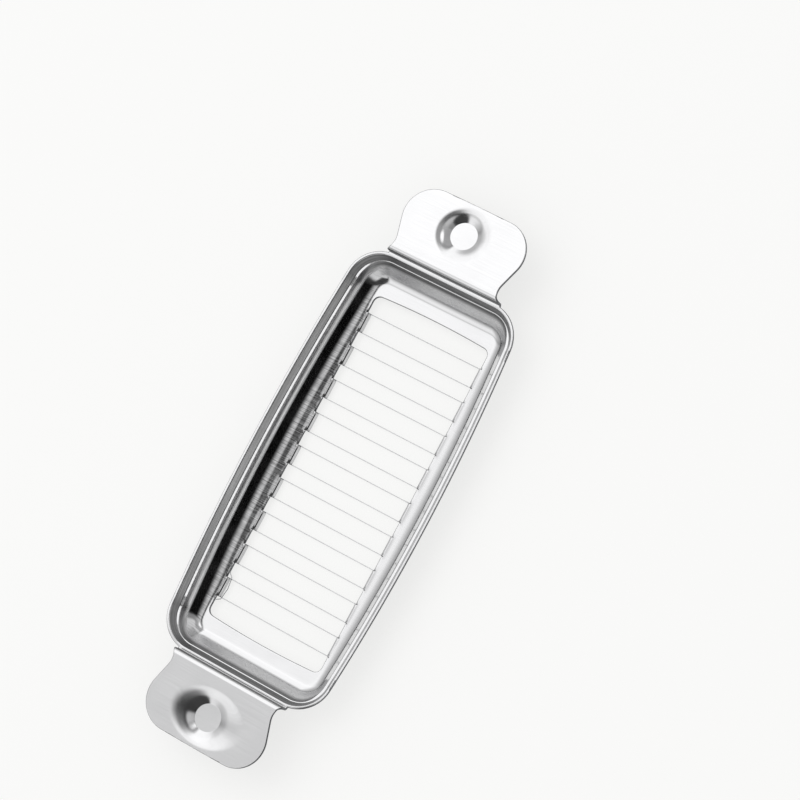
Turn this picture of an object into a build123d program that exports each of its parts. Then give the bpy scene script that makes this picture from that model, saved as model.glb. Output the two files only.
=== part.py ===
from build123d import *
import os

# A butter slicer: a pressed stainless frame with eighteen wires across its window.
# Millimetres. X runs from tab to tab, Y across, Z up. The origin is the centre of the
# window, on the plane of the tongue tips, which is what the slicer stands on.

# the sheet and the rim of the tray
sheet = 0.8                 # thickness of the sheet
rim_half_length = 75.2      # to the crease where each tab starts
rim_half_width = 35.1       # at mid length
side_radius = 800.0         # bow of the long sides
corner_radius = 12.6
lip_top = 12.2              # height of the lip's top face
floor_top = 3.1             # height of the floor's top face
lip_width = 0.95            # flat of the lip, to the sharp corner of its bend
lip_radius = 0.75
shoulder_in = 1.7           # the small level shoulder a third of the way down the wall
shoulder_out = 2.9
shoulder_depth = 3.15
shoulder_drop = 0.06
wall_foot = 5.52            # where the wall's line meets the floor's plane
cove_radius = 6.3           # cove between wall and floor
floor_start = 9.7           # the floor plate starts this far in from the rim

# the window and the tongues
window_half_length = 60.9   # at the corners
window_bow = 0.8            # extra at mid width
window_half_width = 22.75   # to the edge between two tongues
window_corner = 2.5
tongues = 9
tongue_pitch = 12.7
tongue_width = 7.3
tongue_face = 22.1          # face of a tongue that looks into the window
tongue_bend = 0.9
tongue_corner = 1.0

# the cutting wire
wire_radius = 0.15
wire_sides = 12             # facets of the wire's section, round enough at this size
wire_height = 1.1
wire_side = 3.52            # from a tongue's centre to the wire at its side
wire_play = 0.02            # room between wire and notch
notch = 2 * (wire_radius + wire_play)
tail_height = wire_height + 2 * wire_radius + 2 * wire_play

# the thumb tabs
crease_x = rim_half_length + 0.1
rise_x = 75.85              # where the rise would meet the tab's plane
rise_top = 17.75
tab_end_x = 101.75
tab_end_top = 16.05
crease_radius = 0.4
rise_radius = 1.75
flare_x = 73.2
flare_y = 18.4
flare_radius = 6.3
lobe_x = 101.5
lobe_y = 26.89
lobe_radius = 10.6
dimple_x = 90.8
dimple_rim = 10.5           # radius where the tab's plane begins
dimple_edge = 7.42          # corner that the dimple's rounded side is drawn from
dimple_foot = 4.75          # radius of the flat middle
dimple_depth = 1.35
dimple_edge_radius = 12.4

os.makedirs("parts", exist_ok=True)


def tongue_x(i):
    return ((tongues - 1) / 2 - i) * tongue_pitch


def rim_face(height, inset=0.0):
    """The rim's outline, moved in by inset, as a sketch at the given height."""
    with BuildSketch(Plane.XY.offset(height), mode=Mode.PRIVATE) as outline:
        Rectangle(2 * (rim_half_length - inset), 4 * rim_half_width)
        with Locations((0, rim_half_width - side_radius)):
            Circle(side_radius - inset, mode=Mode.INTERSECT)
        with Locations((0, side_radius - rim_half_width)):
            Circle(side_radius - inset, mode=Mode.INTERSECT)
        fillet(outline.vertices(), corner_radius - inset)
    return outline.sketch


def strip(plane, points, radii, side):
    """A bent strip of sheet seen on edge: its upper face's line, thickened by the sheet."""
    with BuildSketch(plane, mode=Mode.PRIVATE) as section:
        with BuildLine():
            FilletPolyline(*points, radius=radii)
            offset(amount=sheet, side=side, kind=Kind.INTERSECTION)
        make_face()
    return section.sketch


with BuildPart() as pressed_frame:
    # lip, wall, shoulder and cove, carried round the rim
    rim = rim_face(lip_top).face().outer_wire()
    start = Plane(origin=rim @ 0, x_dir=Vector(0, 0, 1).cross(rim % 0), z_dir=rim % 0)
    wall = strip(start, [(0, 0), (lip_width, 0), (shoulder_in, -shoulder_depth),
                         (shoulder_out, -shoulder_depth - shoulder_drop),
                         (wall_foot, floor_top - lip_top), (floor_start + 0.3, floor_top - lip_top)],
                 (lip_radius, 0, 0, cove_radius), Side.RIGHT)
    sweep(wall, path=rim)

    # floor plate with its window
    extrude(rim_face(floor_top - sheet, floor_start), amount=sheet, dir=(0, 0, 1))
    with BuildSketch(Plane.XY):
        with BuildLine():
            half = window_half_length
            Line((-half, window_half_width), (half, window_half_width))
            ThreePointArc((half, window_half_width), (half + window_bow, 0), (half, -window_half_width))
            Line((half, -window_half_width), (-half, -window_half_width))
            ThreePointArc((-half, -window_half_width), (-half - window_bow, 0), (-half, window_half_width))
        make_face()
        fillet(vertices(), window_corner)
    extrude(amount=2 * lip_top, mode=Mode.SUBTRACT)

    # tongues bent down along both long edges of the window, notched for the wire
    with BuildPart(mode=Mode.PRIVATE) as tongue:
        bent = strip(Plane.YZ.offset(-tongue_width / 2),
                     [(tongue_face + 1.9, floor_top), (tongue_face, floor_top), (tongue_face, 0)],
                     (tongue_bend,), Side.LEFT)
        extrude(bent, amount=tongue_width, dir=(1, 0, 0))
        fillet(tongue.edges().filter_by(Axis.Y).group_by(Axis.Z)[0], tongue_corner)
        with Locations((-wire_side, tongue_face, wire_height), (wire_side, tongue_face, wire_height)):
            Box(notch, 4, notch, mode=Mode.SUBTRACT)
    for i in range(tongues):
        for turn in (0, 180):
            add(tongue.part.moved(Location((tongue_x(i), 0, 0), (0, 0, turn))))

    # thumb tabs: the lip bends up at a crease and then out into a lobed plate with a dimple
    with BuildPart(mode=Mode.PRIVATE) as tab:
        droop = (rise_top - tab_end_top) / (tab_end_x - rise_x)
        raised = strip(Plane.XZ.offset(-lobe_y - 3),
                       [(rim_half_length - 0.3, lip_top), (crease_x, lip_top), (rise_x, rise_top),
                        (tab_end_x + 2, tab_end_top - 2 * droop)],
                       (crease_radius, rise_radius), Side.RIGHT)
        extrude(raised, amount=2 * (lobe_y + 3), dir=(0, -1, 0))
        with BuildSketch(Plane.XY):
            with BuildLine():
                FilletPolyline((flare_x - 3, lobe_y + 0.5), (flare_x, lobe_y + 0.5), (flare_x, flare_y),
                               (lobe_x, lobe_y), (tab_end_x, 0), (lobe_x, -lobe_y),
                               (flare_x, -flare_y), (flare_x, -lobe_y - 0.5), (flare_x - 3, -lobe_y - 0.5),
                               radius=(0, flare_radius, lobe_radius, 300, lobe_radius, flare_radius, 0))
                Line((flare_x - 3, -lobe_y - 0.5), (flare_x - 3, lobe_y + 0.5))
            make_face()
        extrude(amount=3 * lip_top, mode=Mode.INTERSECT)
        run = Vector(tab_end_x - rise_x, 0, tab_end_top - rise_top).normalized()
        spot = Vector(rise_x, 0, rise_top) + run * ((dimple_x - rise_x) / run.X)
        dimple = Plane(origin=spot, x_dir=run, z_dir=run.cross(Vector(0, 1, 0)))
        with BuildSketch(dimple):
            Circle(dimple_rim)
        extrude(amount=3, both=True, mode=Mode.SUBTRACT)
        across = Plane(origin=spot, x_dir=run, z_dir=Vector(0, -1, 0))
        pressed = strip(across, [(dimple_rim, 0), (dimple_edge, 0), (dimple_foot, -dimple_depth),
                                 (0, -dimple_depth)], (dimple_edge_radius, 0), Side.LEFT)
        revolve(pressed, axis=Axis(origin=spot, direction=dimple.z_dir))
    for turn in (0, 180):
        add(tab.part.moved(Location((0, 0, 0), (0, 0, turn))))

pressed_frame.part.label = "pressed_frame"
export_step(pressed_frame.part, "parts/pressed_frame.step")


def bent_wire(points, bends=0.0):
    """A short length of the wire along straight runs, square at its corners or joined by arcs."""
    with BuildPart(mode=Mode.PRIVATE) as length:
        with BuildLine() as path:
            if bends:
                FilletPolyline(*points, radius=bends)
            else:
                Polyline(*points)
        line = path.wire()
        with BuildSketch(Plane(origin=line @ 0, z_dir=line % 0)):
            RegularPolygon(wire_radius, wire_sides)
        sweep(path=line, transition=Transition.RIGHT)
    return length.part


# straight spans, ending half way through the tongues' thickness
span_end = tongue_face + sheet / 2
for n in range(2 * tongues):
    x = tongue_x(n // 2) + (wire_side if n % 2 == 0 else -wire_side)
    with BuildPart() as cutting_wire:
        add(bent_wire([(x, span_end, wire_height), (x, -span_end, wire_height)]))
    cutting_wire.part.label = "cutting_wire_%02d" % (n + 1)
    export_step(cutting_wire.part, "parts/cutting_wire_%02d.step" % (n + 1))

# returns behind the tongues
back = tongue_face + sheet + wire_radius + wire_play
for side, turn in (("left", 0), ("right", 180)):
    with BuildPart() as wire_returns:
        for i in range(tongues):
            loop = bent_wire([(wire_side, span_end, wire_height), (wire_side, back, wire_height),
                              (-wire_side, back, wire_height), (-wire_side, span_end, wire_height)])
            add(loop.moved(Location((tongue_x(i), 0, 0), (0, 0, turn))))
    wire_returns.part.label = "wire_returns_" + side
    export_step(wire_returns.part, "parts/wire_returns_%s.step" % side)

# the wire's two ends: one runs on behind the first gap, the other loops round the last tongue
with BuildPart() as wire_tail_start:
    add(bent_wire([(tongue_x(0) - 1, back, tail_height), (tongue_x(1) + 2.5, back, tail_height)]))
wire_tail_start.part.label = "wire_tail_start"
export_step(wire_tail_start.part, "parts/wire_tail_start.step")

last = tongue_x(tongues - 1)
with BuildPart() as wire_tail_end:
    add(bent_wire([(last + 10.5, back, tail_height), (last + 5.4, back, tail_height),
                   (last + 4.0, 21.5, tail_height), (last, 20.95, tail_height),
                   (last - 4.1, 21.5, tail_height), (last - 5.0, back, tail_height)],
                  (1.0, 0.8, 3.0, 0.6)))
wire_tail_end.part.label = "wire_tail_end"
export_step(wire_tail_end.part, "parts/wire_tail_end.step")
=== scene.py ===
"""Wire butter slicer: a pressed stainless frame with a laced cutting wire, on a plain floor."""
import math

import bpy
from bpy.props import (FloatProperty, FloatVectorProperty, IntProperty, PointerProperty,
                       StringProperty)
from mathutils import Euler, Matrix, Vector


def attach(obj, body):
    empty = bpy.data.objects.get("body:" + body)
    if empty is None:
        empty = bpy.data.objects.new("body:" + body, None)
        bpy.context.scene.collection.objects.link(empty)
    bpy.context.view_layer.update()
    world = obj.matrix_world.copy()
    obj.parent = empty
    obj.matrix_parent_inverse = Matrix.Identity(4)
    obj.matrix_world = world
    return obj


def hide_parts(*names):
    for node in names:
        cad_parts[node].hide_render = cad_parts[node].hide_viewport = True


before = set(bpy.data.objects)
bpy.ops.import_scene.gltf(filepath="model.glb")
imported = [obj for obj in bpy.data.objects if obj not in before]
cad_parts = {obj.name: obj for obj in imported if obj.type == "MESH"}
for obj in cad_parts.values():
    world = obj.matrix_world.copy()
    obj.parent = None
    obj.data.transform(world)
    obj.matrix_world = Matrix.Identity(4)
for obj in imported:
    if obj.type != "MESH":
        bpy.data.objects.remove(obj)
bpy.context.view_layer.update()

bl_info = {
    "name": "Wire Butter Slicer",
    "version": (1, 0, 0),
    "blender": (4, 5, 0),
    "location": "3D View > Sidebar > Slicer",
    "description": "Builds a pressed stainless butter slicer, its laced wire and a plain studio",
    "category": "Add Mesh",
}

MM = 0.001
LACED_NODES = ["cutting_wire_%02d" % n for n in range(1, 19)] + [
    "wire_returns_left", "wire_returns_right"]
TAIL_NODES = ["wire_tail_start", "wire_tail_end"]


# ---------------------------------------------------------------- settings


class SheetSettings(bpy.types.PropertyGroup):
    """Sizes and colour of the pressed sheet, in millimetres of the real part"""

    thickness: FloatProperty(name="Thickness", description="Thickness of the sheet",
                             default=0.8 * MM, unit="LENGTH")
    end: FloatProperty(name="Rim half length", description="Centre to the crease of a tab",
                       default=75.2 * MM, unit="LENGTH")
    side: FloatProperty(name="Rim half width", description="Centre to the lip at mid length",
                        default=35.07 * MM, unit="LENGTH")
    bow: FloatProperty(name="Side radius", description="Radius of the bowed long sides",
                       default=800 * MM, unit="LENGTH")
    corner: FloatProperty(name="Corner radius", description="Radius of the rim's corners",
                          default=12.6 * MM, unit="LENGTH")
    lip: FloatProperty(name="Lip height", description="Height of the lip's upper face",
                       default=12.2 * MM, unit="LENGTH")
    floor: FloatProperty(name="Floor height", description="Height of the floor's upper face",
                         default=3.1 * MM, unit="LENGTH")
    tongue_pitch: FloatProperty(name="Tongue pitch", description="From one tongue to the next",
                                default=12.7 * MM, unit="LENGTH")
    tongue_count: IntProperty(name="Tongues", description="Tongues along each side", default=9,
                              min=1)
    colour: StringProperty(name="Colour", description="Colour of the bright sheet, as sRGB hex",
                           default="#E0E0E1")
    # the cut edges' own grey, darkened further as painted shade along the outline
    edge_colour_and_shade: StringProperty(name="Edge colour", default="#6C6D70",
                                description="Colour of the sheared edges, as sRGB hex")


class WireSettings(bpy.types.PropertyGroup):
    """Sizes and colour of the laced wire"""

    radius: FloatProperty(name="Radius", description="Radius of the wire", default=0.15 * MM,
                          unit="LENGTH")
    height: FloatProperty(name="Height", description="Height of the spans above the tongue tips",
                          default=1.1 * MM, unit="LENGTH")
    reach: FloatProperty(name="Side of tongue", default=3.52 * MM, unit="LENGTH",
                         description="From a tongue's centre to the span beside it")
    colour: StringProperty(name="Colour", description="Colour of the drawn wire, as sRGB hex",
                           default="#CFCFD1")


class StageSettings(bpy.types.PropertyGroup):
    """The floor's colour and the camera"""

    floor_colour: StringProperty(name="Floor colour", default="#FBFBFA",
                                 description="Colour of the plain floor, as sRGB hex")
    camera_place: FloatVectorProperty(name="Camera place", description="Where the camera stands",
                                      default=(-0.00694, -0.37209, 0.98127),
                                      subtype="TRANSLATION", unit="LENGTH")
    camera_turn: FloatVectorProperty(name="Camera turn", description="How the camera is turned",
                                     default=[math.radians(a)
                                              for a in (11.9179, 17.1754, -60.5885)],
                                     subtype="EULER")
    lens: FloatProperty(name="Lens", description="Focal length in millimetres on a 36 mm sensor",
                        default=139.892)


# ---------------------------------------------------------------- small tools


def linear(hex_colour):
    """An sRGB hex colour as linear RGBA."""
    out = []
    for i in (1, 3, 5):
        c = int(hex_colour[i:i + 2], 16) / 255
        out.append(c / 12.92 if c <= 0.04045 else ((c + 0.055) / 1.055) ** 2.4)
    return (*out, 1.0)


def add_node(tree, kind, links=None, **settings):
    """Adds a node, sets its properties and input values, and links its inputs."""
    node = tree.nodes.new(kind)
    for key, value in settings.items():
        if key.startswith("in_"):
            name = key[3:]
            key = int(name) if name.isdigit() else name.replace("_", " ")
            node.inputs[key].default_value = value
        else:
            setattr(node, key, value)
    for name, source in (links or {}).items():
        tree.links.new(source, node.inputs[name])
    return node


def on_ramp(angle):
    """A direction's angle in degrees as a place on a ramp from -180 to 180 degrees."""
    return (angle + 180) / 360


def set_ramp(node, stops):
    """Fills a colour ramp with grey stops of (angle in degrees, level)."""
    ramp = node.color_ramp
    ramp.interpolation = "LINEAR"
    while len(ramp.elements) > 1:
        ramp.elements.remove(ramp.elements[-1])
    for i, (angle, level) in enumerate(stops):
        place = on_ramp(angle)
        stop = ramp.elements[0] if i == 0 else ramp.elements.new(place)
        stop.position = place
        stop.color = (level, level, level, 1)
    return node


def new_piece(name, verts, faces, material, smooth=True):
    """A mesh object from vertices and faces."""
    mesh = bpy.data.meshes.new(name)
    mesh.from_pydata(verts, [], faces)
    mesh.validate()
    if smooth:
        mesh.shade_smooth()
    piece = bpy.data.objects.new(name, mesh)
    bpy.context.scene.collection.objects.link(piece)
    mesh.materials.append(material)
    return piece


def bend(corner, r, n):
    """n + 1 points that round the middle one of three points with radius r."""
    a, p, b = (Vector(q) for q in corner)
    u, v = (a - p).normalized(), (b - p).normalized()
    turn = math.pi - u.angle(v)
    centre = p + (u + v).normalized() * (r / math.cos(turn / 2))
    start = p + u * (r * math.tan(turn / 2)) - centre
    sign = 1 if u.cross(v) < 0 else -1
    out = []
    for k in range(n + 1):
        c, s = math.cos(sign * turn * k / n), math.sin(sign * turn * k / n)
        out.append((centre.x + start.x * c - start.y * s, centre.y + start.x * s + start.y * c))
    return out


def rounded(points, radii, step=math.radians(9)):
    """The 2-D polyline through points, each inner corner turned into an arc of its radius."""
    out = [points[0]]
    for i, r in enumerate(radii, 1):
        a, p, b = (Vector(q) for q in points[i - 1:i + 2])
        turn = math.pi - (a - p).angle(b - p)
        out += bend((a, p, b), r, max(2, math.ceil(turn / step)))
    out.append(points[-1])
    return out


def ease(low, high, x):
    """0 below low, 1 above high, and a smooth step between them."""
    t = min(1.0, max(0.0, (x - low) / (high - low)))
    return t * t * (3 - 2 * t)


def spaced(a, b, n):
    """n + 1 values from a to b."""
    return [a + (b - a) * k / n for k in range(n + 1)]


# ---------------------------------------------------------------- materials


# marks on the metal: those too fine to show at this size are drawn coarser
HAIR_GAP = 0.36 * MM          # between rolling lines, really nearer 0.05 mm
HAIR_LONG = 22 * MM
SMEAR = 9 * MM                # soft smears from handling
WAVE = 20 * MM                # slow waves that the press leaves in flat sheet, crest to crest
WAVE_HEIGHT = 0.6 * MM
DRAG_GAP = 0.35 * MM          # level lines that the die drags round the steep walls
DRAG_LONG = 30 * MM
TORN = 0.3 * MM               # grain of a sheared edge, really finer
WIRE_DRAG = 3 * MM            # patches where the wire's die dragged
TRAY_END = (66 * MM, 72 * MM)        # the opened-up hairs fade out over this, towards the ends
SHOULDER = (9.2 * MM, 9.6 * MM)      # height of the wall's shoulder
STEEP = (0.56, 0.4)           # how upright the sheet is where a wall starts to count as steep
SHEET_ROUGHNESS = 0.13
STEEP_ROUGHNESS = 0.15        # more, on steep walls
SLANT_ROUGHNESS = 0.16        # more, on slanted sheet at the ends
FAINT_HAIRS = 0.06            # how much of the hairs shows outside the dragged slope
HAIR_SWING = 0.3              # how far the hairs swing the roughness
HAIR_TINT = 2.4               # how far they swing the brightness
PAINTED_WALL_SHADE = -0.8                  # painted shade: how far it darkens a steep wall inside the tray
UPPER_WALL_SHADE = 0.78            # how much of that painted shade the sides get above the shoulder
DRAG_LINE_SHADE = -0.35             # how far the level lines darken, which also paints shade over the steep walls


def rolled_stainless(colour):
    """Stainless sheet, cold rolled bright and then pressed.

    The rolling leaves fine straight lines across the part, which stretch each reflection along
    the part and show as faint lighter and darker hairs; handling adds a few soft smears."""
    material = bpy.data.materials.new("stainless_sheet_rolled_and_pressed")
    material.use_nodes = True
    tree = material.node_tree
    tree.nodes.clear()
    place = add_node(tree, "ShaderNodeTexCoord").outputs["Object"]
    axes = add_node(tree, "ShaderNodeSeparateXYZ", {0: place})
    facing = add_node(tree, "ShaderNodeSeparateXYZ",
                      {0: add_node(tree, "ShaderNodeNewGeometry").outputs["Normal"]})
    # the lines follow the sheet down the end walls: distance along the sheet stands in for x there
    lean = add_node(tree, "ShaderNodeMath", {0: facing.outputs["X"], 1: facing.outputs["Z"]},
                    operation="MULTIPLY")
    drop = add_node(tree, "ShaderNodeMath", {0: lean.outputs[0], 1: axes.outputs["Z"]},
                    operation="MULTIPLY")
    along = add_node(tree, "ShaderNodeMath", {0: drop.outputs[0], 2: axes.outputs["X"]},
                     operation="MULTIPLY_ADD", in_1=-2.0)
    # the rolling lines: fine hairs, which the eye reads as brushed brightness
    grain = add_node(tree, "ShaderNodeCombineXYZ", {
        "X": add_node(tree, "ShaderNodeMath", {0: along.outputs[0]}, operation="DIVIDE",
                      in_1=HAIR_GAP).outputs[0],
        "Y": add_node(tree, "ShaderNodeMath", {0: axes.outputs["Y"]}, operation="DIVIDE",
                      in_1=HAIR_LONG).outputs[0]})
    hairs = add_node(tree, "ShaderNodeTexNoise", {"Vector": grain.outputs[0]}, in_Scale=1.0,
                     in_Detail=2.0, in_Roughness=0.6)
    smears = add_node(tree, "ShaderNodeTexNoise", {"Vector": place}, in_Scale=1 / SMEAR,
                      in_Detail=2.0)
    # the press dragged the +Y slope over the die, which opened the lines up: strong there and
    # faint elsewhere
    slope = add_node(tree, "ShaderNodeMapRange", {"Value": facing.outputs["Y"]},
                     in_1=-0.02, in_2=-0.12, in_3=0.0, in_4=1.0)
    gentle = add_node(tree, "ShaderNodeMapRange", {"Value": facing.outputs["Y"]},
                      in_1=-0.4, in_2=-0.6, in_3=1.0, in_4=0.0)
    opened = add_node(tree, "ShaderNodeMath", {0: slope.outputs[0], 1: gentle.outputs[0]},
                      operation="MULTIPLY")
    far_out = add_node(tree, "ShaderNodeMath", {0: axes.outputs["X"]}, operation="ABSOLUTE")
    in_tray = add_node(tree, "ShaderNodeMapRange", {"Value": far_out.outputs[0]},
                       in_1=TRAY_END[0], in_2=TRAY_END[1], in_3=1.0, in_4=0.0)
    opened = add_node(tree, "ShaderNodeMath", {0: opened.outputs[0], 1: in_tray.outputs[0]},
                      operation="MULTIPLY")
    drawn = add_node(tree, "ShaderNodeMapRange", {"Value": opened.outputs[0]},
                     in_3=FAINT_HAIRS, in_4=1.0)
    swing = add_node(tree, "ShaderNodeMath", {0: hairs.outputs["Fac"]}, operation="SUBTRACT",
                     in_1=0.5)
    streak = add_node(tree, "ShaderNodeMath", {0: swing.outputs[0], 1: drawn.outputs[0]},
                      operation="MULTIPLY")
    rough = add_node(tree, "ShaderNodeMath", {0: streak.outputs[0]}, operation="MULTIPLY_ADD",
                     in_1=HAIR_SWING, in_2=SHEET_ROUGHNESS)
    worn = add_node(tree, "ShaderNodeMapRange", {"Value": smears.outputs["Fac"]},
                    in_1=0.3, in_2=0.7, in_3=-0.02, in_4=0.03)
    # painted shade: the steepest walls are darkened, the end walls most
    ends = add_node(tree, "ShaderNodeMath", {0: facing.outputs["X"]}, operation="ABSOLUTE")
    upright = add_node(tree, "ShaderNodeMath", {0: ends.outputs[0], 2: facing.outputs["Z"]},
                       operation="MULTIPLY_ADD", in_1=-0.1)
    steep = add_node(tree, "ShaderNodeMapRange", {"Value": upright.outputs[0]},
                     in_1=STEEP[0], in_2=STEEP[1], in_3=0.0, in_4=1.0)
    upper = add_node(tree, "ShaderNodeMapRange", {"Value": axes.outputs["Z"]},
                     in_1=SHOULDER[0], in_2=SHOULDER[1], in_3=0.0, in_4=UPPER_WALL_SHADE)
    most = add_node(tree, "ShaderNodeMath", {0: ends.outputs[0], 1: upper.outputs[0]},
                    operation="MAXIMUM")
    # the painted shade falls only inside the tray, where the sheet faces its middle
    outward = add_node(tree, "ShaderNodeVectorMath", {
        0: place, 1: add_node(tree, "ShaderNodeNewGeometry").outputs["Normal"]},
        operation="DOT_PRODUCT")
    inside = add_node(tree, "ShaderNodeMapRange", {"Value": outward.outputs["Value"]}, in_1=0.0,
                      in_2=-10 * MM, in_3=0.0, in_4=1.0)
    shade_inside = add_node(tree, "ShaderNodeMath", {0: most.outputs[0], 1: inside.outputs[0]},
                      operation="MULTIPLY")
    wall_shade_mask = add_node(tree, "ShaderNodeMath", {0: steep.outputs[0], 1: shade_inside.outputs[0]},
                       operation="MULTIPLY")
    slanted = add_node(tree, "ShaderNodeMapRange", {"Value": facing.outputs["Z"]},
                       in_1=0.85, in_2=0.6, in_3=0.0, in_4=SLANT_ROUGHNESS)
    worn = add_node(tree, "ShaderNodeMath", {0: slanted.outputs[0], 1: ends.outputs[0],
                                             2: worn.outputs[0]}, operation="MULTIPLY_ADD")
    worn = add_node(tree, "ShaderNodeMath", {0: steep.outputs[0], 2: worn.outputs[0]},
                    operation="MULTIPLY_ADD", in_1=STEEP_ROUGHNESS)
    total = add_node(tree, "ShaderNodeMath", {0: rough.outputs[0], 1: worn.outputs[0]},
                     operation="ADD", use_clamp=True)
    # the die drags fine level lines round the steep walls; as they only darken, they also paint
    # shade over those walls
    level = add_node(tree, "ShaderNodeCombineXYZ", {
        axis: add_node(tree, "ShaderNodeMath", {0: axes.outputs[axis]}, operation="DIVIDE",
                       in_1=size).outputs[0]
        for axis, size in (("X", DRAG_LONG), ("Y", DRAG_LONG), ("Z", DRAG_GAP))})
    dragged = add_node(tree, "ShaderNodeTexNoise", {"Vector": level.outputs[0]}, in_Scale=1.0,
                       in_Detail=2.0)
    darkest = add_node(tree, "ShaderNodeMath", {0: steep.outputs[0]}, operation="MULTIPLY_ADD",
                       in_1=DRAG_LINE_SHADE, in_2=1.0)
    drag = add_node(tree, "ShaderNodeMapRange", {
        "Value": dragged.outputs["Fac"], "To Min": darkest.outputs[0]},
        in_1=0.42, in_2=0.58, in_4=1.0)
    tint = add_node(tree, "ShaderNodeMath", {0: streak.outputs[0]}, operation="MULTIPLY_ADD",
                    in_1=HAIR_TINT, in_2=0.98)
    grain_and_shade = add_node(tree, "ShaderNodeMath", {0: tint.outputs[0], 1: drag.outputs[0]},
                      operation="MULTIPLY")
    # painted shade darkening the steep walls inside the tray
    dark = add_node(tree, "ShaderNodeMath", {0: wall_shade_mask.outputs[0]}, operation="MULTIPLY_ADD",
                    in_1=PAINTED_WALL_SHADE, in_2=1.0)
    grain_and_shade = add_node(tree, "ShaderNodeMath", {0: grain_and_shade.outputs[0], 1: dark.outputs[0]},
                      operation="MULTIPLY")
    shade = add_node(tree, "ShaderNodeVectorMath", {"Scale": grain_and_shade.outputs[0]},
                     operation="SCALE", in_0=linear(colour)[:3])
    # slow waves, so that a reflection in flat sheet is not quite straight
    waves = add_node(tree, "ShaderNodeTexNoise", {"Vector": place}, in_Scale=1 / WAVE,
                     in_Detail=0.0)
    wavy = add_node(tree, "ShaderNodeBump", {"Height": waves.outputs["Fac"]},
                    in_Strength=0.3, in_Distance=WAVE_HEIGHT)
    across = add_node(tree, "ShaderNodeCombineXYZ", in_X=1.0)
    metal = add_node(tree, "ShaderNodeBsdfPrincipled", {
        "Base Color": shade.outputs[0], "Roughness": total.outputs[0], "Normal": wavy.outputs[0],
        "Tangent": across.outputs[0]}, in_Metallic=1.0, in_Anisotropic=0.3)
    add_node(tree, "ShaderNodeOutputMaterial", {"Surface": metal.outputs[0]})
    return material


def sheared_edge_and_shade(colour):
    """The cut edges of the sheet: torn matt by the shear, with their grey painted darker as shade,
    so they draw a fine grey outline.
    """
    material = bpy.data.materials.new("stainless_edge_sheared_and_shaded")
    material.use_nodes = True
    tree = material.node_tree
    tree.nodes.clear()
    place = add_node(tree, "ShaderNodeTexCoord").outputs["Object"]
    torn = add_node(tree, "ShaderNodeTexNoise", {"Vector": place}, in_Scale=1 / TORN,
                    in_Detail=2.0)
    rough = add_node(tree, "ShaderNodeMapRange", {"Value": torn.outputs["Fac"]},
                     in_1=0.3, in_2=0.7, in_3=0.35, in_4=0.55)
    metal = add_node(tree, "ShaderNodeBsdfPrincipled", {"Roughness": rough.outputs[0]},
                     in_Base_Color=linear(colour), in_Metallic=1.0)
    add_node(tree, "ShaderNodeOutputMaterial", {"Surface": metal.outputs[0]})
    return material


def drawn_wire(colour):
    """Stainless wire, drawn through a die: smooth and bright, with faint lines along it."""
    material = bpy.data.materials.new("stainless_wire_drawn")
    material.use_nodes = True
    tree = material.node_tree
    tree.nodes.clear()
    place = add_node(tree, "ShaderNodeTexCoord").outputs["Object"]
    drag = add_node(tree, "ShaderNodeTexNoise", {"Vector": place}, in_Scale=1 / WIRE_DRAG,
                    in_Detail=2.0)
    rough = add_node(tree, "ShaderNodeMapRange", {"Value": drag.outputs["Fac"]},
                     in_1=0.3, in_2=0.7, in_3=0.18, in_4=0.24)
    metal = add_node(tree, "ShaderNodeBsdfPrincipled", {"Roughness": rough.outputs[0]},
                     in_Base_Color=linear(colour), in_Metallic=1.0)
    add_node(tree, "ShaderNodeOutputMaterial", {"Surface": metal.outputs[0]})
    return material


# ---------------------------------------------------------------- the pressed frame


class SheetBuilder:
    """Collects the upper face of the sheet as one quad mesh; a modifier gives it thickness."""

    def __init__(self):
        self.verts, self.faces, self.index = [], [], {}

    def vert(self, x, y, z):
        key = (round(x * 1e7), round(y * 1e7), round(z * 1e7))
        if key not in self.index:
            self.index[key] = len(self.verts)
            self.verts.append((x, y, z))
        return self.index[key]

    def grid(self, rows, flip=False):
        """Quads between rows of points that all have the same length."""
        ids = [[self.vert(*p) for p in row] for row in rows]
        for upper, lower in zip(ids, ids[1:]):
            for k in range(len(upper) - 1):
                quad = [upper[k], upper[k + 1], lower[k + 1], lower[k]]
                quad = list(dict.fromkeys(quad))
                if len(quad) >= 3:
                    self.faces.append(quad[::-1] if flip else quad)


LIP_FLAT = 1.0                # lip to the corner of its bend, in mm
LIP_LEAN = {1: -0.1, -1: 0.06}       # how much the lip rises inwards at the +X and -X end, in mm
ARCH = 0.9 * MM               # the rim's rise from mid length to its ends
ARCH_AT = 75 * MM
COVE_END = 9.61 * MM          # the cove between wall and floor ends this far in from the rim
FLOOR_FROM = 9.9              # where a wall's section ends, in mm from the rim
WINDOW_END = 60.9 * MM        # half length of the window at its corners
WINDOW_BOW = 0.8 * MM         # how much further it reaches at mid width
WINDOW_SIDE = 22.75 * MM      # half width at the edges between tongues
WINDOW_CORNER = 2.5 * MM
BEND_LINE = 23.2 * MM         # where the tongues start to bend down
TONGUE_FACE = 22.1 * MM
TONGUE_HALF = 3.65 * MM
TONGUE_STEPS = (-1, -0.5, 0, 0.5, 1)
TONGUE_CORNER = 1.0 * MM
TONGUE_DIP = 0.15             # how steeply the floor dips just before a tongue
NOTCH_DEEP = 0.33 * MM        # the wire's notch in a tongue's side
NOTCH_LOW, NOTCH_HIGH = 0.88 * MM, 1.32 * MM
SAG_FROM = 8.2 * MM           # the floor starts to slope down to the window this far in
SAG_SLOPE = 0.125
SAG_BLEND = 1.3 * MM
SAG_FADE = (50 * MM, 62 * MM)        # the slope fades out over this, towards the ends
TAB_ROOT = 22.2 * MM          # half width of a tab where it leaves the lip
TAB_COLUMNS = 92
TAB_END = (101.63 * MM, 16.057 * MM)     # place and height of the tab's far edge
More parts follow.
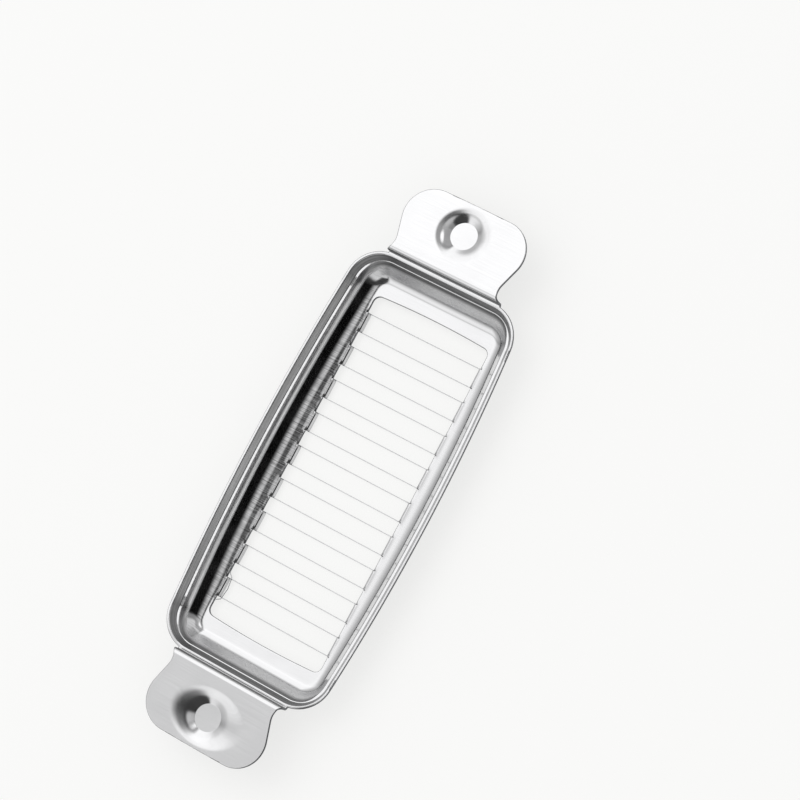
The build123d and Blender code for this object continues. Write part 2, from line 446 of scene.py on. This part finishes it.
# the +X and the -X tab: where the rise would meet the plate, and the radius of the bend there
TAB_RISE = {1: (75.6 * MM, 17.745 * MM), -1: (75.45 * MM, 17.745 * MM)}
TAB_BEND = {1: 1.75 * MM, -1: 1.6 * MM}
CREASE = 0.2 * MM             # radius between lip and rise
FLARE = (79.5 * MM, 26.87 * MM, 6.3 * MM)     # centre and radius of the flare at a tab's root
FLARE_END, LOBE_START = 81.3 * MM, 88.0 * MM
WAIST = (83.7 * MM, 21.55 * MM, 0.3)          # a place on the waist, its half width, its slope
LOBE = (91.05 * MM, 12.69 * MM, 10.6 * MM)    # centre and radius of a lobe's corner
DIMPLE_PLACE = 90.8 * MM
DIMPLE_RIM = 10.5 * MM
# the -X dimple was pressed harder: its shoulder is deeper and spreads sideways
DIMPLE_SHOULDER = {1: 0.36 * MM, -1: 0.55 * MM}
DIMPLE_SPREAD = {1: 0.05, -1: 0.42}


def tab_half_width(x):
    """Half the tab's width at x: a flared root, a waist, and a round lobe."""
    if x < FLARE_END:
        return FLARE[1] - math.sqrt(max(FLARE[2] ** 2 - (x - FLARE[0]) ** 2, 0))
    if x < LOBE_START:
        return WAIST[1] + WAIST[2] * (x - WAIST[0])
    return LOBE[1] + math.sqrt(max(LOBE[2] ** 2 - (x - LOBE[0]) ** 2, 0))


def rim_columns(s):
    """One quarter of the rim from the middle of an end to the middle of a side.

    Each column is the point on the lip's edge, the inward direction, and the point where the
    floor meets the window's bend line or edge, with the floor's edge itself."""
    cx, sx = s.end - s.corner, s.side - s.bow
    cy = sx + math.sqrt((s.bow - s.corner) ** 2 - cx ** 2)
    lean = math.asin(cx / (s.bow - s.corner))
    columns = []

    def window_end(y):
        return WINDOW_END + WINDOW_BOW * (1 - (y / WINDOW_SIDE) ** 2)

    wc = WINDOW_SIDE - WINDOW_CORNER
    margin = BEND_LINE - WINDOW_SIDE
    step = 2 * TAB_ROOT / TAB_COLUMNS
    ys = [step * k for k in range(TAB_COLUMNS // 2 + 1)]
    for y in ys:
        if y < cy:
            w = y / cy * wc
            edge = (window_end(w), w)
            columns.append(((s.end, y), (-1.0, 0.0), (edge[0] + margin, w), edge))
    # the corner: its arc, then the first of the side, both face the window's rounded corner
    top = window_end(wc) - WINDOW_CORNER
    foot = s.bow - COVE_END
    side_from = math.asin(top / foot)
    first = [math.asin((y - cy) / s.corner) for y in ys if y >= cy]
    arc = first + spaced(first[-1], math.pi / 2 - lean, 12)[1:]
    corner = [((cx + s.corner * math.cos(a), cy + s.corner * math.sin(a)),
               (-math.cos(a), -math.sin(a)), a / arc[-1] * math.pi / 4) for a in arc]
    for f in spaced(0, 1, 8)[1:-1]:
        a = lean + (side_from - lean) * f
        corner.append(((s.bow * math.sin(a), sx + s.bow * math.cos(a)),
                       (-math.sin(a), -math.cos(a)), math.pi / 4 * (1 + f)))
    wide = WINDOW_CORNER + margin
    for p, n, t in corner:
        c, sn = math.cos(t), math.sin(t)
        columns.append((p, n, (top + wide * c, wc + wide * sn),
                        (top + WINDOW_CORNER * c, wc + WINDOW_CORNER * sn)))
    # along the side: columns on the tongues' edges and between
    cuts = [top]
    tongues = [k * s.tongue_pitch for k in range(s.tongue_count // 2, -1, -1)]
    for centre in tongues:
        cuts += [centre + f * TONGUE_HALF for f in TONGUE_STEPS[::-1]]
        if centre > 0:
            cuts += spaced(centre - TONGUE_HALF, centre - s.tongue_pitch + TONGUE_HALF,
                           5)[1:-1]
    gap = spaced(top, tongues[0] + TONGUE_HALF, 4)[1:-1]
    cuts = [x for x in sorted(set(round(x, 9) for x in cuts + gap), reverse=True) if x > -1e-9]
    for x in cuts:
        a = math.asin(x / foot)
        columns.append(((s.bow * math.sin(a), sx + s.bow * math.cos(a)),
                        (-math.sin(a), -math.cos(a)), (x, BEND_LINE), (x, WINDOW_SIDE)))
    return columns


def wall_section(s, end, lean):
    """Distance in from the lip's edge and height, from the lip to the floor.

    end is 1 on an end wall, where the step is narrow, the lip rises inwards by lean and the slope
    is gentler, and 0 on a side."""

    def mix(side, at_end):
        return side + (at_end - side) * end

    foot = (s.floor - s.lip) / MM
    deep = mix(-2.85, -2.9)
    # in mm: lip, its inner corner, the shoulder's two corners, mid wall, foot, floor
    points = [(0, 0), (LIP_FLAT, mix(0, lean)), (2.45, deep), (mix(3.5, 2.7), deep - 0.02),
              (mix(3.8, 3.6), mix(-5.7, -4.6)), (mix(7.56, 7.5), foot), (FLOOR_FROM, foot)]
    corners = [(o * MM, s.lip + z * MM) for o, z in points]
    # each inner corner's radius in mm and the steps it is turned in, which never change, so
    # every section has the same number of points
    turns = ((0.45, 10), (0.12, 3), (mix(0.3, 0.2), 5), (mix(5, 10), 8), (mix(5.2, 4.4), 9))
    out = [corners[0]]
    for i, (r, n) in enumerate(turns, 1):
        turned = bend(corners[i - 1:i + 2], r * MM, n)
        if i in (2, 4):       # one more row half way down each steep run
            out.append(tuple((a + b) / 2 for a, b in zip(out[-1], turned[0])))
        out += turned
    return out


def arch(place, z, s):
    """How much higher the rim stands towards its ends than at mid length."""
    return ARCH * (place[0] / ARCH_AT) ** 2 * max(0.0, (z - s.floor) / (s.lip - s.floor))


def dimple_section(shoulder):
    """Radius and drop of the thumb dimple from its rim to its middle."""
    deep = 1.38 * MM
    line = rounded([(DIMPLE_RIM + 0.1 * MM, 0), (9.3 * MM, 0), (7.0 * MM, -shoulder),
                    (4.75 * MM, -deep), (0, -deep)],
                   [8.0 * MM, 8.0 * MM, 0.45 * MM], math.radians(1.5))[1:-1]
    out = []
    for i, point in enumerate(line):
        if i and math.dist(line[i - 1], point) > 0.8 * MM:
            out.append(((line[i - 1][0] + point[0]) / 2, (line[i - 1][1] + point[1]) / 2))
        out.append(point)
    return out + [(out[-1][0] * f, out[-1][1]) for f in (0.9, 0.7, 0.4, 0.0)]


def build_tab(b, s, root, turn):
    """Adds a tab: rows over the crease and the bend, then rings from its outline to the dimple."""
    base = s.lip + ARCH
    rise, end = TAB_RISE[turn], TAB_END
    line = rounded([(s.end, base), (s.end + CREASE, base), rise, end],
                   [CREASE, TAB_BEND[turn]], math.radians(7))
    line = [p for p in line[:-1] if p[0] > s.end + 0.02 * MM]
    slope = Vector((end[0] - rise[0], end[1] - rise[1])).normalized()
    normal = Vector((-slope.y, slope.x))
    centre = Vector((DIMPLE_PLACE, end[1] + slope.y / slope.x * (DIMPLE_PLACE - end[0])))

    def on_plate(x, y, drop=0.0):
        along = centre + slope * ((x - DIMPLE_PLACE) / slope.x) + normal * drop
        return (along.x, y, along.y)

    rows = [root]
    for x, z in line:
        half = tab_half_width(x)
        rows.append([(x, p[1] / TAB_ROOT * half, z) for p in root])
    # the outline from the bend's last row round both lobes, then back along that row
    x0, waist = line[-1][0], 82.9 * MM
    side = [(x, tab_half_width(x)) for x in spaced(x0, waist, 8)[1:]]
    side += [(x, tab_half_width(x)) for x in spaced(waist, LOBE_START, 6)[1:]]
    a0 = math.asin((LOBE_START - LOBE[0]) / LOBE[2])
    side += [(LOBE[0] + LOBE[2] * math.sin(a), LOBE[1] + LOBE[2] * math.cos(a))
             for a in spaced(a0, math.pi / 2, 30)[1:]]
    end_edge = [(end[0] + 0.1 * MM * (1 - (y / LOBE[1]) ** 2), y)
                for y in spaced(LOBE[1], -LOBE[1], 24)[1:-1]]
    ring = [(x, -y) for x, y in side] + end_edge[::-1] + side[::-1]
    ring += [(x0, p[1]) for p in rows[-1][::-1]]
    directions = [math.atan2(y, (x - DIMPLE_PLACE) / slope.x) for x, y in ring]

    def in_dimple(r, a):
        return (DIMPLE_PLACE + r * math.cos(a) * slope.x,
                r * math.sin(a) * (1 + DIMPLE_SPREAD[turn] * ease(5.5 * MM, 10 * MM, r)))

    rims = [in_dimple(DIMPLE_RIM, a) for a in directions]
    rings = [[on_plate(x, y) for x, y in ring]]
    for f in (0.04, 0.12, 0.25, 0.42, 0.6, 0.78, 0.9, 1.0):
        rings.append([on_plate(x + (u - x) * f, y + (v - y) * f)
                      for (x, y), (u, v) in zip(ring, rims)])
    for r, drop in dimple_section(DIMPLE_SHOULDER[turn]):
        rings.append([on_plate(*in_dimple(r, a), drop) for a in directions])
    # the last ring is joined to itself, and the rows lie the other way round
    rings = [row + [row[0]] for row in rings]
    if turn < 0:
        rows, rings = ([[(-x, -y, z) for x, y, z in row] for row in group]
                       for group in (rows, rings))
    b.grid(rows, flip=True)
    b.grid(rings)


def build_tongue(b, s, centre, sign):
    """Adds a tongue: rows over its bend, then one flat face with the wire's notches."""
    turn = rounded([(BEND_LINE, s.floor), (BEND_LINE - 0.12 * MM, s.floor),
                    (TONGUE_FACE, s.floor - 0.25 * MM), (TONGUE_FACE, 0.0)],
                   [0.8 * MM, 0.84 * MM], math.radians(7))[:-1]
    narrow = 0.03 * MM
    rows = []
    for i, (y, z) in enumerate(turn):
        half = TONGUE_HALF - (narrow if i else 0)
        places = [centre + f * half for f in TONGUE_STEPS]
        low = [b.sag[round((centre + f * TONGUE_HALF) * 1e6), round(sign * BEND_LINE * 1e6)]
               for f in TONGUE_STEPS]
        rows.append([(x, sign * y, z - d) for x, d in zip(places, low)])
    b.grid(rows, flip=sign > 0)
    half, r = TONGUE_HALF - narrow, TONGUE_CORNER
    side = [(half, NOTCH_HIGH), (half - NOTCH_DEEP, NOTCH_HIGH), (half - NOTCH_DEEP, NOTCH_LOW),
            (half, NOTCH_LOW)]
    side += [(half - r + r * math.cos(t), r - r * math.sin(t))
             for t in spaced(0.16, math.pi / 2, 7)]
    outline = [(x, z) for x, z in side] + [(-x, z) for x, z in side[::-1]]
    face = [b.vert(centre + x, sign * TONGUE_FACE, z) for x, z in outline]
    face += [b.vert(*p) for p in rows[-1]]
    b.faces.append(face[::-1] if sign > 0 else face)


def sag(place, inset):
    """How far the floor beside the window has sunk: it slopes down a little to its sides."""
    slope = SAG_SLOPE * (1 - ease(*SAG_FADE, abs(place[0])))
    past = max(0.0, inset - SAG_FROM)
    if past < SAG_BLEND:
        return slope * past * past / (2 * SAG_BLEND)
    return slope * (past - SAG_BLEND / 2)


def build_sheet(s):
    """The whole sheet: rim, floor, tongues and both tabs."""
    b = SheetBuilder()
    quarter = rim_columns(s)
    sections = {}
    for _, n, _, _ in quarter:
        for half, lean in LIP_LEAN.items():
            end = ease(0.35, 0.95, abs(n[0]))
            sections[round(abs(n[0]), 6), half] = wall_section(s, end, lean)

    def turned(column, mx, my):
        return tuple((p[0] * mx, p[1] * my) for p in column)

    # once round, anticlockwise from the middle of the +X end
    loop = [turned(c, 1, 1) for c in quarter]
    loop += [turned(c, -1, 1) for c in quarter[-2::-1]]
    loop += [turned(c, -1, -1) for c in quarter[1:]]
    loop += [turned(c, 1, -1) for c in quarter[-2:0:-1]]
    loop.append(loop[0])

    centres = [(k - s.tongue_count // 2) * s.tongue_pitch for k in range(s.tongue_count)]

    def on_line(place):
        return abs(abs(place[1]) - BEND_LINE) < 1e-7

    walls = [sections[round(abs(n[0]), 6), 1 if p[0] > 0 else -1] for p, n, _, _ in loop]
    rows = []
    for k in range(len(walls[0])):
        row = []
        for (p, n, _, _), wall in zip(loop, walls):
            o, z = wall[k]
            row.append((p[0] + n[0] * o, p[1] + n[1] * o, z - sag(p, o) + arch(p, z, s)))
        rows.append(row)
    # out over the floor, which starts to dip where a tongue begins
    for f in (0.33, 0.67, 1.0):
        row = []
        for (p, n, line, _), wall in zip(loop, walls):
            foot = wall[-1][0]
            ix, iy = p[0] + n[0] * foot, p[1] + n[1] * foot
            x, y = ix + (line[0] - ix) * f, iy + (line[1] - iy) * f
            low = sag(p, foot + math.dist((ix, iy), (x, y)))
            at_tongue = on_line((x, y)) and any(abs(x - c) < TONGUE_HALF + 1e-7 for c in centres)
            if f == 1.0 and at_tongue:
                low += TONGUE_DIP * math.dist((x, y), rows[-1][len(row)][:2])
            row.append((x, y, s.floor - low))
        rows.append(row)
    b.grid(rows)
    b.sag = {(round(x * 1e6), round(y * 1e6)): s.floor - z for x, y, z in rows[-1]}

    # the last strip to the window's edge, left out where a tongue bends down
    for one, two in zip(loop, loop[1:]):
        mid = (one[2][0] + two[2][0]) / 2
        on_side = on_line(one[2]) and on_line(two[2])
        if on_side and any(abs(mid - c) < TONGUE_HALF for c in centres):
            continue
        z1, z2 = (s.floor - b.sag[round(c[2][0] * 1e6), round(c[2][1] * 1e6)]
                  for c in (one, two))
        b.grid([[(*one[2], z1), (*two[2], z2)], [(*one[3], z1), (*two[3], z2)]])

    for sign in (1, -1):
        for c in centres:
            build_tongue(b, s, c, sign)
        # the tab's root row runs along the lip's edge between its flared corners
        root = sorted({p for p, _, _, _ in loop
                       if p[0] > s.corner and abs(p[1]) < TAB_ROOT + 1e-7}, key=lambda q: q[1])
        build_tab(b, s, [(x, y, s.lip + arch((x, y), s.lip, s)) for x, y in root], sign)
    return b


class SLICER_OT_frame(bpy.types.Operator):
    """Build the pressed frame: tray, window with its tongues, and both thumb tabs"""

    bl_idname = "slicer.frame"
    bl_label = "Pressed Frame"

    def execute(self, context):
        s = context.scene.slicer_sheet
        b = build_sheet(s)
        material = rolled_stainless(s.colour)
        piece = new_piece("pressed_sheet", b.verts, b.faces, material)
        solid = piece.modifiers.new("thickness", "SOLIDIFY")
        solid.thickness = s.thickness
        solid.offset = -1
        solid.use_even_offset = True
        piece.data.materials.append(sheared_edge_and_shade(s.edge_colour_and_shade))
        solid.material_offset_rim = 1
        bevel = piece.modifiers.new("cut edges", "BEVEL")
        bevel.width = 0.15 * MM
        bevel.use_clamp_overlap = False
        bevel.segments = 2
        bevel.limit_method = "ANGLE"
        bevel.angle_limit = math.radians(50)
        bevel.material = 1
        weighted = piece.modifiers.new("shading", "WEIGHTED_NORMAL")
        weighted.keep_sharp = False
        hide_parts("pressed_frame")
        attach(piece, "root")
        return {"FINISHED"}


# ---------------------------------------------------------------- the wire


def wire_curve(name, routes, radius, material):
    """One curve object with a round section; each route is (points, closed)."""
    curve = bpy.data.curves.new(name, "CURVE")
    curve.dimensions = "3D"
    curve.bevel_depth = radius
    curve.bevel_resolution = 4
    curve.use_fill_caps = True
    for points, closed in routes:
        line = curve.splines.new("POLY")
        line.points.add(len(points) - 1)
        for point, place in zip(line.points, points):
            point.co = (*place, 1)
        line.use_cyclic_u = closed
        line.use_smooth = True
    piece = bpy.data.objects.new(name, curve)
    bpy.context.scene.collection.objects.link(piece)
    curve.materials.append(material)
    return piece


class SLICER_OT_wire(bpy.types.Operator):
    """Lace the cutting wire across the window and round the tongues"""

    bl_idname = "slicer.wire"
    bl_label = "Cutting Wire"

    def execute(self, context):
        s, w = context.scene.slicer_sheet, context.scene.slicer_wire
        play, r = 0.02 * MM, 0.3 * MM      # room round the wire, and the radius of its turns
        back = TONGUE_FACE + s.thickness + w.radius + play
        routes = []
        for k in range(s.tongue_count):
            cx = (s.tongue_count // 2 - k) * s.tongue_pitch
            corner = [(cx + w.reach - r * (1 - math.cos(a)), back - r * (1 - math.sin(a)))
                      for a in spaced(0, math.pi / 2, 5)]
            loop = corner + [(2 * cx - x, y) for x, y in corner[::-1]]
            loop += [(x, -y) for x, y in loop[::-1]]
            routes.append(([(x, y, w.height) for x, y in loop], True))
        material = drawn_wire(w.colour)
        spans = wire_curve("laced_wire", routes, w.radius, material)
        high = w.height + 2 * w.radius + 2 * play
        first = (s.tongue_count // 2) * s.tongue_pitch
        last = -first
        start = [(first - 1 * MM, back, high), (first - s.tongue_pitch + 2.5 * MM, back, high)]
        end = rounded([(last + 10.5 * MM, back), (last + 5.4 * MM, back),
                       (last + 4.0 * MM, 21.5 * MM), (last, 20.95 * MM),
                       (last - 4.1 * MM, 21.5 * MM), (last - 5.0 * MM, back)],
                      [v * MM for v in (1.0, 0.8, 3.0, 0.6)])
        end = [(x, y, high) for x, y in end]
        tails = wire_curve("wire_ends", [(start, False), (end, False)], w.radius, material)
        for piece, nodes in ((spans, LACED_NODES), (tails, TAIL_NODES)):
            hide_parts(*nodes)
            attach(piece, "root")
        return {"FINISHED"}


# ---------------------------------------------------------------- stage


# the room that the metal mirrors. Directions are in degrees: across is measured from straight up
# towards +Y, and along from the room's middle towards +X. Levels are brightness, and 1 is a box
ACROSS_MIDDLE = (
    (-100, 0.62), (-92, 0.5), (-85, 0.1), (-80, 0.0), (-44, 0.0), (-34, 0.1), (-26, 0.25),
    (-16, 0.42), (-6, 0.52), (-1, 0.5), (2, 0.3), (4.5, 0.05), (8, 0.05), (10.5, 0.16), (13, 0.5),
    (16, 0.95), (25, 1.0), (36, 0.9), (45, 0.68), (61, 0.48), (80, 0.37), (97, 0.2), (112, 0.3))
# towards the +X end the dark behind the key box is grey
ACROSS_FAR = (
    (-92, 0.6), (-80, 0.2), (-60, 0.2), (-40, 0.25), (-20, 0.35), (0, 0.35), (4, 0.27), (11, 0.3),
    (17, 1.0), (38, 0.95), (62, 0.5), (97, 0.3), (112, 0.45))
# towards the -X end it is dark from the key box to the horizon
ACROSS_NEAR = (
    (-100, 0.62), (-90, 0.4), (-80, 0.05), (10, 0.05), (13, 0.25), (17, 0.95), (25, 1.0),
    (36, 0.9), (45, 0.68), (61, 0.48), (80, 0.37), (97, 0.2), (112, 0.3))
ALONG = (
    (-90, 0.5), (-73, 0.52), (-58, 0.64), (-45, 0.8), (-35, 0.86), (-22, 0.86), (-17, 0.74),
    (-12, 0.56), (-8, 0.74), (-4, 0.96), (0, 0.97), (8, 1.0), (13, 1.07), (30, 1.0), (60, 1.0),
    (75, 0.86), (84, 0.65), (90, 0.45))
FAR_BLEND, NEAR_BLEND = (8, 12), (-4.5, -8.5)     # along, where the middle gives way to each end
# pale patches: along from and to, across from and to, where each grows from nothing to full
PALE_PATCHES = ((20, 36, -25, -42), (50, 62, 14, 0))
PALE_LEVEL = 0.58
ROUND_BOX_WAY = (0.4226, -0.0474, 0.905)
ROUND_BOX_EDGE, ROUND_BOX_CORE, ROUND_BOX_LEVEL = 11, 5, 1.1      # degrees from its middle
BOX_GAIN = 1.32               # strength of a box of level 1, as metal sees it
MATT_LEVEL = 0.8              # strength of the room on matt surfaces


def turn_angle(tree, source, operation):
    """The angle of an arc function, as a place on a ramp from -180 to 180 degrees."""
    angle = add_node(tree, "ShaderNodeMath", source, operation=operation)
    return add_node(tree, "ShaderNodeMath", {0: angle.outputs[0]}, operation="MULTIPLY_ADD",
                    in_1=1 / (2 * math.pi), in_2=0.5)


def studio_world(world):
    """A plain white room with soft boxes: the light that bright metal mirrors.

    A key box hangs over the +Y side. Behind it the room is dark down to the floor's white
    horizon, which draws the dark band down the +Y wall. Along the part the boxes have soft
    darker joints, and the back and the ends of the room are pale."""
    world.use_nodes = True
    tree = world.node_tree
    tree.nodes.clear()
    place = add_node(tree, "ShaderNodeTexCoord").outputs["Generated"]
    way = add_node(tree, "ShaderNodeSeparateXYZ", {0: place})
    across = turn_angle(tree, {0: way.outputs["Y"], 1: way.outputs["Z"]}, "ARCTAN2")
    along = turn_angle(tree, {0: way.outputs["X"]}, "ARCSINE")
    middle, far, near = (
        set_ramp(add_node(tree, "ShaderNodeValToRGB", {"Fac": across.outputs[0]}), stops)
        for stops in (ACROSS_MIDDLE, ACROSS_FAR, ACROSS_NEAR))
    ramp_along = set_ramp(add_node(tree, "ShaderNodeValToRGB", {"Fac": along.outputs[0]}), ALONG)
    boxes = middle.outputs["Color"]
    for ramp, (low, high) in ((far, FAR_BLEND), (near, NEAR_BLEND)):
        share = add_node(tree, "ShaderNodeMapRange", {"Value": along.outputs[0]},
                         in_1=on_ramp(low), in_2=on_ramp(high), in_3=0.0, in_4=1.0)
        boxes = add_node(tree, "ShaderNodeMix", {
            "Factor": share.outputs[0], "A": boxes, "B": ramp.outputs["Color"]},
            data_type="FLOAT").outputs[0]
    level = add_node(tree, "ShaderNodeMath", {0: boxes, 1: ramp_along.outputs["Color"]},
                     operation="MULTIPLY")
    aside = add_node(tree, "ShaderNodeMath", {0: way.outputs["X"]}, operation="ABSOLUTE")
    for starts, full, over, under in PALE_PATCHES:
        out = add_node(tree, "ShaderNodeMapRange", {"Value": aside.outputs[0]},
                       in_1=math.sin(math.radians(starts)), in_2=math.sin(math.radians(full)),
                       in_3=0.0, in_4=PALE_LEVEL)
        below = add_node(tree, "ShaderNodeMapRange", {"Value": across.outputs[0]},
                         in_1=on_ramp(over), in_2=on_ramp(under), in_3=0.0, in_4=1.0)
        pale = add_node(tree, "ShaderNodeMath", {0: out.outputs[0], 1: below.outputs[0]},
                        operation="MULTIPLY")
        level = add_node(tree, "ShaderNodeMath", {0: level.outputs[0], 1: pale.outputs[0]},
                         operation="MAXIMUM")
    # one round soft box
    round_box = add_node(tree, "ShaderNodeVectorMath", {0: place}, operation="DOT_PRODUCT",
                         in_1=ROUND_BOX_WAY)
    round_box = add_node(tree, "ShaderNodeMapRange", {"Value": round_box.outputs["Value"]},
                         in_1=math.cos(math.radians(ROUND_BOX_EDGE)),
                         in_2=math.cos(math.radians(ROUND_BOX_CORE)),
                         in_3=0.0, in_4=ROUND_BOX_LEVEL)
    level = add_node(tree, "ShaderNodeMath", {0: level.outputs[0], 1: round_box.outputs[0]},
                     operation="MAXIMUM")
    gain = add_node(tree, "ShaderNodeMath", {0: level.outputs[0]}, operation="MULTIPLY",
                    in_1=BOX_GAIN)
    # matt surfaces are lit evenly from all round, and the eye sees the room itself as white
    path = add_node(tree, "ShaderNodeLightPath")
    even = add_node(tree, "ShaderNodeMix", {
        "Factor": path.outputs["Is Diffuse Ray"], "A": gain.outputs[0]},
        data_type="FLOAT", in_3=MATT_LEVEL)
    strength = add_node(tree, "ShaderNodeMix", {
        "Factor": path.outputs["Is Camera Ray"], "A": even.outputs[0]},
        data_type="FLOAT", in_3=1.0)
    light = add_node(tree, "ShaderNodeBackground", {"Strength": strength.outputs[0]},
                     in_Color=(1, 1, 1, 1))
    add_node(tree, "ShaderNodeOutputWorld", {"Surface": light.outputs[0]})


MOTTLE = 40 * MM              # mottle of the floor's rolled paint
FLOOR_GLOW = 0.72             # how far the floor is seen as plain white, so its shadow stays light
FLOOR_HALF = 6.0              # half the floor's side, in metres like the lamp's size and place
LAMP_SIZE, LAMP_POWER = 1.6, 6
LAMP_PLACE = (0.3, 0.75, 1.45)


def pale_floor(colour):
    """Matt painted board: an even pale tone with a trace of mottle."""
    material = bpy.data.materials.new("painted_board_matt")
    material.use_nodes = True
    tree = material.node_tree
    tree.nodes.clear()
    base = linear(colour)
    place = add_node(tree, "ShaderNodeTexCoord").outputs["Object"]
    mottle = add_node(tree, "ShaderNodeTexNoise", {"Vector": place}, in_Scale=1 / MOTTLE,
                      in_Detail=2.0)
    rough = add_node(tree, "ShaderNodeMapRange", {"Value": mottle.outputs["Fac"]},
                     in_3=0.85, in_4=0.95)
    paint = add_node(tree, "ShaderNodeBsdfPrincipled", {"Roughness": rough.outputs[0]},
                     in_Base_Color=base, in_Specular_IOR_Level=0.1)
    # the eye and the metal see the board partly as plain white
    glow = add_node(tree, "ShaderNodeEmission", in_Color=base)
    path = add_node(tree, "ShaderNodeLightPath")
    seen = add_node(tree, "ShaderNodeMath", {
        0: path.outputs["Is Camera Ray"], 1: path.outputs["Is Glossy Ray"]}, operation="MAXIMUM")
    part = add_node(tree, "ShaderNodeMath", {0: seen.outputs[0]}, operation="MULTIPLY",
                    in_1=FLOOR_GLOW)
    board = add_node(tree, "ShaderNodeMixShader", {
        0: part.outputs[0], 1: paint.outputs[0], 2: glow.outputs[0]})
    add_node(tree, "ShaderNodeOutputMaterial", {"Surface": board.outputs[0]})
    return material


class SLICER_OT_stage(bpy.types.Operator):
    """Lay the plain floor, light it softly and place the camera"""

    bl_idname = "slicer.stage"
    bl_label = "Stage"

    def execute(self, context):
        scene = context.scene
        s = scene.slicer_stage
        corners = [(x * FLOOR_HALF, y * FLOOR_HALF, 0)
                   for x, y in ((-1, -1), (1, -1), (1, 1), (-1, 1))]
        floor = new_piece("studio_floor", corners, [(0, 1, 2, 3)], pale_floor(s.floor_colour),
                          smooth=False)
        if scene.world is None:
            scene.world = bpy.data.worlds.new("studio")
        studio_world(scene.world)
        lamp = bpy.data.lights.new("soft_key", "AREA")
        lamp.shape = "DISK"
        lamp.size = LAMP_SIZE
        lamp.energy = LAMP_POWER
        key = bpy.data.objects.new("soft_key", lamp)
        key.location = LAMP_PLACE
        key.rotation_euler = (-key.location).to_track_quat("-Z", "Y").to_euler()
        key.visible_glossy = False
        scene.collection.objects.link(key)

        lens = bpy.data.cameras.new("camera")
        lens.lens = s.lens
        lens.sensor_width = 36
        lens.clip_end = 100
        camera = bpy.data.objects.new("camera", lens)
        camera.location = s.camera_place
        camera.rotation_euler = Euler(s.camera_turn)
        scene.collection.objects.link(camera)
        scene.camera = camera
        scene.view_settings.view_transform = "Standard"
        return {"FINISHED"}


class SLICER_PT_panel(bpy.types.Panel):
    """Lists the pieces of the slicer in the sidebar"""

    bl_label = "Butter Slicer"
    bl_space_type = "VIEW_3D"
    bl_region_type = "UI"
    bl_category = "Slicer"

    def draw(self, context):
        for name in GROUPS:
            group = getattr(context.scene, name)
            box = self.layout.box()
            for key in group.__annotations__:
                box.prop(group, key)
        for kind in OPERATORS:
            self.layout.operator(kind.bl_idname)


OPERATORS = (SLICER_OT_frame, SLICER_OT_wire, SLICER_OT_stage)
GROUPS = {"slicer_sheet": SheetSettings, "slicer_wire": WireSettings, "slicer_stage": StageSettings}


def register():
    for kind in (*GROUPS.values(), *OPERATORS, SLICER_PT_panel):
        bpy.utils.register_class(kind)
    for key, group in GROUPS.items():
        setattr(bpy.types.Scene, key, PointerProperty(type=group))


def unregister():
    for key in GROUPS:
        delattr(bpy.types.Scene, key)
    for kind in (SLICER_PT_panel, *OPERATORS, *GROUPS.values()):
        bpy.utils.unregister_class(kind)


def main():
    register()
    bpy.ops.slicer.frame()
    bpy.ops.slicer.wire()
    bpy.ops.slicer.stage()


if __name__ == "__main__":
    main()
